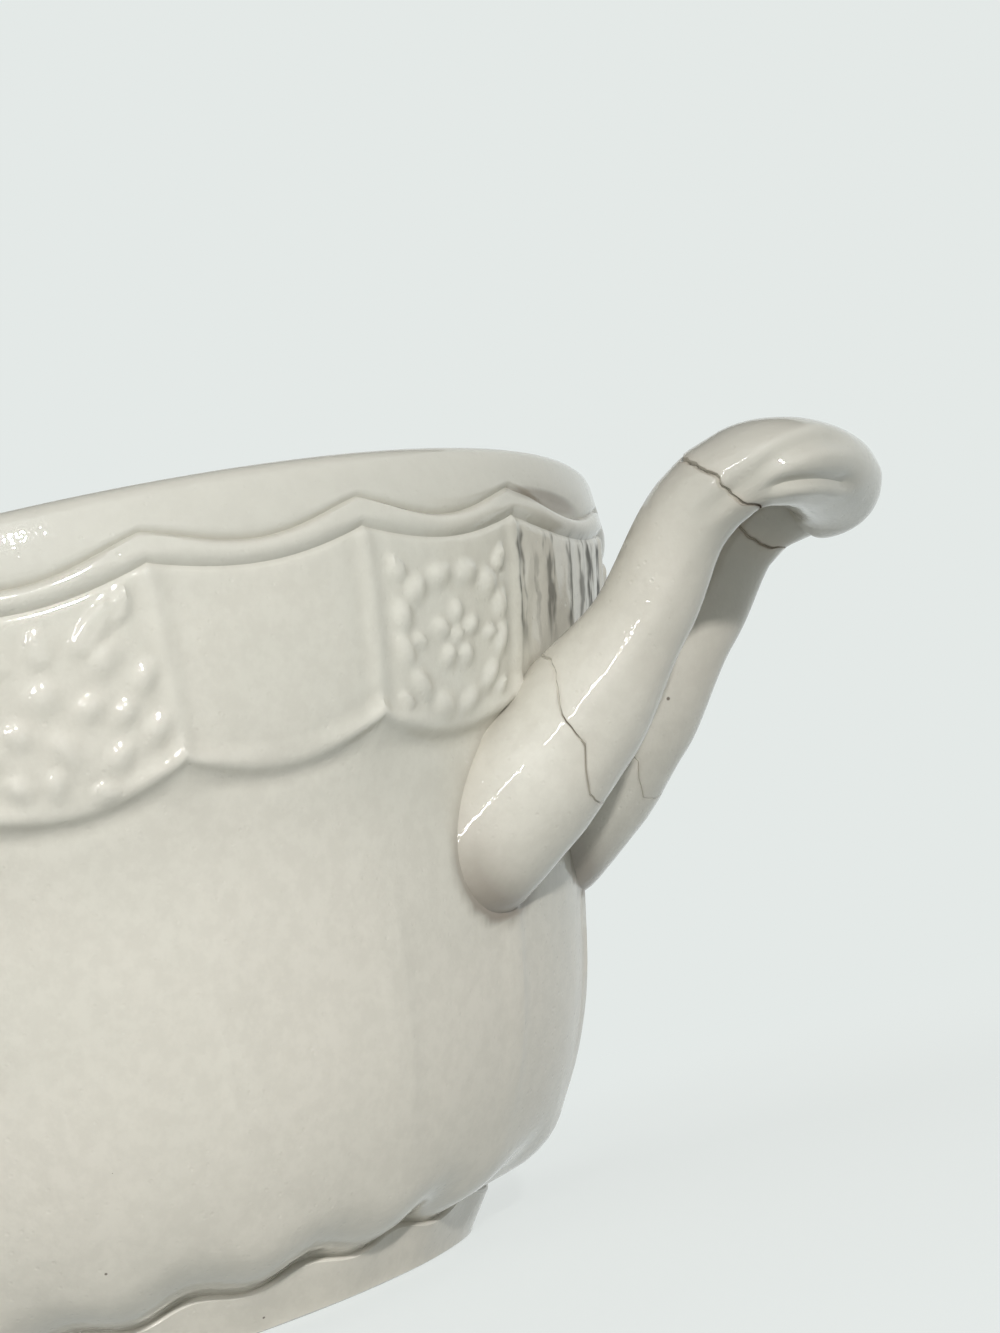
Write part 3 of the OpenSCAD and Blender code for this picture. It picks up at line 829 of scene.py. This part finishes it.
def painted_reflection_streaks():
    """Painted reflections as dark upright streaks on the panel behind the cracked handle, and a brown
    patch of painted shade in the rim hollow there.
    """
    nodes, _, out = new_group("painted_reflection_streaks", [], [("Mask", FLOAT), ("Hollow", FLOAT)])
    place = nodes.add("ShaderNodeTexCoord").outputs["Object"]
    x, y, z = nodes.add("ShaderNodeSeparateXYZ", {"Vector": place}).outputs
    angle = nodes.maths("MULTIPLY", nodes.maths("ARCTAN2", y, x), 180 / math.pi)
    up_only = nodes.add("ShaderNodeCombineXYZ", {"Z": z}).outputs[0]
    drift = nodes.maths("SUBTRACT", nodes.noise(up_only, 160.0, 2.0), 0.5)
    bent = nodes.maths("ADD", angle, nodes.maths("MULTIPLY", drift, 3.0))
    long = nodes.add("ShaderNodeCombineXYZ", {
        "X": nodes.maths("MULTIPLY", angle, 0.9), "Z": nodes.maths("MULTIPLY", z, 130.0),
    }).outputs[0]
    broken = nodes.between(nodes.noise(long, 1.0, 2.0), 0.36, 0.56)
    mask = 0.0
    for middle, half, strength in REFLECTION_STREAKS:
        away = nodes.maths("ABSOLUTE", nodes.maths("SUBTRACT", bent, middle))
        one = nodes.between(away, half * 0.6, half * 1.7, strength, 0.0)
        mask = nodes.maths("MAXIMUM", mask, one)
    top_and_foot = nodes.between(z, *STREAK_TOP, 1.0, 0.0), nodes.between(z, *STREAK_FOOT)
    radius = nodes.add("ShaderNodeVectorMath", {
        0: nodes.add("ShaderNodeCombineXYZ", {"X": x, "Y": y}).outputs[0],
    }, operation="LENGTH").outputs["Value"]
    outer = nodes.maths("SUBTRACT", radius, nodes.maths("MULTIPLY", z, WALL_LEAN))
    side = nodes.maths(
        "MULTIPLY", nodes.maths("GREATER_THAN", x, PANEL_NEAR_X),
        nodes.maths("LESS_THAN", x, PANEL_FAR_X),
    )
    on_body = nodes.maths("MULTIPLY", nodes.maths("GREATER_THAN", outer, WALL_FOOT_R), side)
    window = nodes.maths("MULTIPLY", nodes.maths("MULTIPLY", *top_and_foot), on_body)
    mask = nodes.maths("MULTIPLY", nodes.maths("MULTIPLY", mask, broken), window)
    nodes.put(mask, out["Mask"])
    # A brown patch in the hollow under the rim band: painted shade, with dirt in it
    across = nodes.maths("DIVIDE", nodes.maths("ADD", angle, 5.0), 8.0)
    middle = nodes.maths("ADD", nodes.maths("MULTIPLY", angle, -0.00013), 0.1104)
    height = nodes.maths("DIVIDE", nodes.maths("SUBTRACT", z, middle), 0.0016)
    size = nodes.maths("ADD", nodes.maths("POWER", across, 2.0), nodes.maths("POWER", height, 2.0))
    hollow = nodes.between(size, 0.3, 1.3, 1.0, 0.0)
    nodes.put(nodes.maths("MULTIPLY", hollow, on_body), out["Hollow"])
    return nodes.tree


def new_material(name):
    material = bpy.data.materials.new(name)
    material.use_nodes = True
    nodes = Nodes(material.node_tree)
    shader = material.node_tree.nodes["Principled BSDF"]
    return material, nodes, shader


def glaze_material(specks, grain, streak_tree):
    """Cream glaze with brown stained cracks, darker in its hollows from pooled glaze and painted shade,
    with painted shade and painted reflections on and behind the cracked handle.
    """
    material, nodes, shader = new_material("cream_glaze")
    fired = nodes.add("ShaderNodeGroup", {}, node_tree=grain)
    spots = nodes.add("ShaderNodeGroup", {}, node_tree=specks)
    spots.inputs["Cell size"].default_value = 0.0075
    spots.inputs["Speck radius"].default_value = 0.055
    spots.inputs["Share"].default_value = 0.24
    place = nodes.add("ShaderNodeTexCoord").outputs["Object"]
    height = nodes.add("ShaderNodeSeparateXYZ", {"Vector": place}).outputs["Z"]
    warm, cool = (0.655, 0.610, 0.530, 1), (0.605, 0.592, 0.515, 1)
    lift = nodes.between(height, 0.02, 0.10, 0.15, 0.75)
    cloud = nodes.maths("SUBTRACT", fired.outputs["Drift"], 0.5)
    factor = nodes.maths("ADD", lift, nodes.maths("MULTIPLY", cloud, 1.4), clamp=True)
    colour = nodes.blend(factor, warm, cool)
    patch = nodes.between(fired.outputs["Cloud"], 0.35, 0.7, 0.0, 0.22)
    colour = nodes.blend(patch, colour, (0.71, 0.655, 0.575, 1))
    mottle = nodes.between(fired.outputs["Mottle"], 0.35, 0.65, 0.0, 0.2)
    colour = nodes.blend(mottle, colour, (0.47, 0.44, 0.375, 1))
    out = nodes.add("ShaderNodeSeparateXYZ", {"Vector": place}).outputs["X"]
    # Darker, browner outer part of the cracked handle: stain in the glaze and painted shade
    handle_stain_and_shade = nodes.maths("MULTIPLY", nodes.between(out, 0.100, 0.130), fired.outputs["Cloud"])
    colour = nodes.blend(nodes.maths("MULTIPLY", handle_stain_and_shade, 0.55), colour, (0.47, 0.415, 0.345, 1))
    # Darker end bar of the cracked handle: stain in the glaze and painted shade
    end_bar_stain_and_shade = nodes.maths("MULTIPLY", nodes.between(out, 0.122, 0.142), 0.6)
    colour = nodes.blend(end_bar_stain_and_shade, colour, (0.43, 0.42, 0.365, 1))
    # Darker band round the rim: glaze tone and painted shade
    top = nodes.maths("MULTIPLY", nodes.between(height, 0.098, 0.116), 0.6)
    colour = nodes.blend(top, colour, (0.51, 0.50, 0.44, 1))
    # Darker in hollows: pooled glaze and painted shade
    hollow = nodes.add("ShaderNodeAttribute", attribute_name="hollow").outputs["Fac"]
    colour = nodes.blend(nodes.maths("MULTIPLY", hollow, 0.5), colour, (0.36, 0.33, 0.27, 1))
    edge = nodes.add("ShaderNodeAttribute", attribute_name="edge").outputs["Fac"]
    colour = nodes.blend(nodes.maths("MULTIPLY", edge, 0.2), colour, (0.76, 0.73, 0.67, 1))
    colour = nodes.blend(spots.outputs["Mask"], colour, (0.16, 0.13, 0.10, 1))
    # Dark brown where the handle roots meet the body, stronger lower down: dirt in the join and painted
    # shade under the root
    joint = nodes.add("ShaderNodeAttribute", attribute_name="joint").outputs["Fac"]
    joint = nodes.between(joint, 0.12, 0.78)
    joint = nodes.maths("MULTIPLY", joint, nodes.between(height, 0.048, 0.070, 0.85, 0.15))
    colour = nodes.blend(joint, colour, (0.19, 0.15, 0.11, 1))
    marks = nodes.add("ShaderNodeGroup", {}, node_tree=streak_tree)
    # Brown patch in the rim hollow: painted shade with dirt
    rim_hollow_dirt_and_shade = nodes.maths("MULTIPLY", marks.outputs["Hollow"], 0.85)
    colour = nodes.blend(rim_hollow_dirt_and_shade, colour, (0.27, 0.235, 0.185, 1))
    # Painted reflections: near-black upright streaks standing in for dark surroundings mirrored in the
    # glaze behind the cracked handle
    reflection_streak = nodes.maths("MULTIPLY", marks.outputs["Mask"], 0.92)
    colour = nodes.blend(reflection_streak, colour, (0.085, 0.083, 0.072, 1))
    stain = nodes.add("ShaderNodeAttribute", attribute_name="stain").outputs["Fac"]
    spread = nodes.maths("MULTIPLY", stain, nodes.between(fired.outputs["Cloud"], 0.3, 0.7))
    colour = nodes.blend(nodes.maths("MULTIPLY", spread, 0.45), colour, (0.40, 0.30, 0.20, 1))
    crack = nodes.add("ShaderNodeAttribute", attribute_name="crack").outputs["Fac"]
    colour = nodes.blend(crack, colour, (0.105, 0.065, 0.04, 1))
    nodes.put(colour, shader.inputs["Base Color"])
    rough = nodes.between(fired.outputs["Cloud"], 0.3, 0.7, 0.5, 0.62)
    rough = nodes.maths("ADD", rough, nodes.maths("MULTIPLY", crack, 0.4))
    nodes.put(rough, shader.inputs["Roughness"])
    dull = nodes.maths("MAXIMUM", crack, nodes.maths("MULTIPLY", marks.outputs["Mask"], 0.85))
    coat = nodes.maths("SUBTRACT", 1.0, dull, clamp=True)
    nodes.put(nodes.maths("MULTIPLY", coat, 0.35), shader.inputs["Specular IOR Level"])
    nodes.put(coat, shader.inputs["Coat Weight"])
    shader.inputs["Coat Roughness"].default_value = 0.03
    shader.inputs["Coat IOR"].default_value = 1.5
    bump = nodes.add("ShaderNodeBump", {"Height": fired.outputs["Height"], "Strength": 0.5})
    bump.inputs["Distance"].default_value = 0.0006
    nodes.put(bump.outputs["Normal"], shader.inputs["Normal"])
    nodes.put(bump.outputs["Normal"], shader.inputs["Coat Normal"])
    return material


def bare_clay_material(specks, grain):
    """Unglazed clay on the foot's underside, where the glaze was wiped off."""
    material, nodes, shader = new_material("bare_clay")
    fired = nodes.add("ShaderNodeGroup", {}, node_tree=grain)
    spots = nodes.add("ShaderNodeGroup", {}, node_tree=specks)
    spots.inputs["Cell size"].default_value = 0.003
    spots.inputs["Speck radius"].default_value = 0.16
    spots.inputs["Share"].default_value = 0.4
    colour = nodes.blend(fired.outputs["Cloud"], (0.50, 0.42, 0.32, 1), (0.62, 0.55, 0.45, 1))
    colour = nodes.blend(spots.outputs["Mask"], colour, (0.20, 0.15, 0.11, 1))
    nodes.put(colour, shader.inputs["Base Color"])
    shader.inputs["Roughness"].default_value = 0.8
    bump = nodes.add("ShaderNodeBump", {"Height": fired.outputs["Height"], "Strength": 0.5})
    bump.inputs["Distance"].default_value = 0.0005
    nodes.put(bump.outputs["Normal"], shader.inputs["Normal"])
    return material


def stage_material():
    """Pale floor and backdrop: real floor with its shadow near the bowl, plain pale far off."""
    material, nodes, shader = new_material("pale_stage")
    shade = (0.775, 0.815, 0.80, 1)
    shader.inputs["Base Color"].default_value = (0.50, 0.53, 0.52, 1)
    shader.inputs["Roughness"].default_value = 0.9
    shader.inputs["Specular IOR Level"].default_value = 0.1
    place = nodes.add("ShaderNodeTexCoord").outputs["Object"]
    away = nodes.add("ShaderNodeVectorMath", {0: place}, operation="LENGTH").outputs["Value"]
    far = nodes.between(away, 0.06, 0.36)
    share = nodes.maths("ADD", nodes.maths("MULTIPLY", far, 0.33), 0.67)
    pale = nodes.blend(far, (0.96, 1.0, 0.98, 1), shade)
    path = nodes.add("ShaderNodeLightPath").outputs
    seen = nodes.maths("MAXIMUM", path["Is Camera Ray"], path["Is Glossy Ray"])
    seen = nodes.maths("MAXIMUM", seen, path["Is Transmission Ray"])
    glow = nodes.add("ShaderNodeEmission", {"Color": pale, "Strength": 1.0})
    mixer = nodes.add("ShaderNodeMixShader")
    nodes.put(nodes.maths("MULTIPLY", share, seen), mixer.inputs[0])
    nodes.put(shader.outputs[0], mixer.inputs[1])
    nodes.put(glow.outputs[0], mixer.inputs[2])
    output = material.node_tree.nodes["Material Output"]
    nodes.put(mixer.outputs[0], output.inputs["Surface"])
    return material


# ---- The piece ----
def finish_bowl():
    piece = make_bowl()
    mesh = piece.data
    mark_surface(mesh)
    bm = bmesh.new()
    bm.from_mesh(mesh)
    bmesh.ops.scale(bm, vec=(MM, MM, MM), verts=bm.verts)
    for face in bm.faces:
        face.smooth = True
        face.material_index = 1 if face.calc_center_median().z < 0.0002 else 0
    bm.to_mesh(mesh)
    bm.free()
    mesh.set_sharp_from_angle(angle=math.radians(38))
    specks, grain = clay_specks(), fired_grain()
    mesh.materials.clear()
    mesh.materials.append(glaze_material(specks, grain, painted_reflection_streaks()))
    mesh.materials.append(bare_clay_material(specks, grain))
    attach(piece, "root")
    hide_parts("bowl")
    print("triangles", sum(len(p.vertices) - 2 for p in mesh.polygons))


# ---- The stage, the lamps and the camera, in metres ----
def make_stage():
    """A wide floor that curves up far away, a hair below the foot so that the two never touch."""
    bm = bmesh.new()
    profile = [(0, 0), (0.15, 0), (0.5, 0), (1.8, 0)]
    profile += [(1.8 + 0.8 * math.sin(a), 0.8 - 0.8 * math.cos(a)) for a in np.radians([20, 45, 70, 90])]
    profile.append((2.6, 2.2))
    line = [bm.verts.new((r, 0, z - 0.0001)) for r, z in profile]
    edges = [bm.edges.new(pair) for pair in zip(line, line[1:])]
    bmesh.ops.spin(
        bm, geom=line + edges, cent=(0, 0, 0), axis=(0, 0, 1), dvec=(0, 0, 0),
        angle=2 * math.pi, steps=96, use_merge=True, use_duplicate=False,
    )
    bmesh.ops.remove_doubles(bm, verts=bm.verts, dist=1e-6)
    bmesh.ops.recalc_face_normals(bm, faces=bm.faces)
    bmesh.ops.reverse_faces(bm, faces=[f for f in bm.faces if f.normal.z < -0.01])
    for face in bm.faces:
        face.smooth = True
    stage = shown(bm, "floor")
    stage.data.materials.append(stage_material())


HANDLE_MIDDLE = Vector((0.13, -0.01, 0.09))


def add_lamp(name, heading, height, distance, size, power, tall=None, turn=0, shine=True):
    """An area lamp that faces the handle, heading and height in degrees as seen from it."""
    lamp = bpy.data.lights.new(name, "AREA")
    lamp.shape = "ELLIPSE" if tall is None else "RECTANGLE"
    lamp.size = size
    lamp.size_y = size if tall is None else tall
    lamp.energy = power
    holder = bpy.data.objects.new(name, lamp)
    bpy.context.scene.collection.objects.link(holder)
    holder.visible_glossy = shine
    h, e = math.radians(heading), math.radians(height)
    way = Vector((math.cos(h) * math.cos(e), math.sin(h) * math.cos(e), math.sin(e)))
    holder.location = HANDLE_MIDDLE + way * distance
    facing = way.to_track_quat("Z", "Y").to_matrix() @ Matrix.Rotation(math.radians(turn), 3, "Z")
    holder.rotation_euler = facing.to_euler()


def light_scene():
    add_lamp("key", -56, 18, 1.3, 0.06, 12.0)
    add_lamp("glint", -89, 6.5, 0.9, 0.42, 1.9, tall=0.018, turn=30)
    add_lamp("fill", -75, 30, 1.6, 1.2, 1.0)
    add_lamp("back_right", 50, 30, 1.6, 0.9, 7.0, shine=False)
    add_lamp("back_left", 170, 30, 1.6, 0.9, 7.0, shine=False)
    world = bpy.data.worlds.new("studio")
    bpy.context.scene.world = world
    world.use_nodes = True
    background = world.node_tree.nodes["Background"]
    background.inputs["Color"].default_value = (0.93, 0.97, 1.0, 1)
    background.inputs["Strength"].default_value = 0.06


def place_camera():
    """A long view from low on the handle's side, rolled to the right."""
    camera = bpy.data.cameras.new("camera")
    camera.sensor_width = 36
    camera.lens = 61.5
    holder = bpy.data.objects.new("camera", camera)
    bpy.context.scene.collection.objects.link(holder)
    holder.location = (0.2051, -0.3552, 0.0475)
    look = Vector((-0.3061, 0.9455, 0.1114))
    roll = Matrix.Rotation(math.radians(-16.5), 4, "Z")
    turn = look.to_track_quat("-Z", "Y").to_matrix().to_4x4() @ roll
    holder.rotation_euler = turn.to_euler()
    bpy.context.scene.camera = holder


finish_bowl()
make_stage()
light_scene()
place_camera()
bpy.context.scene.view_settings.view_transform = "Standard"
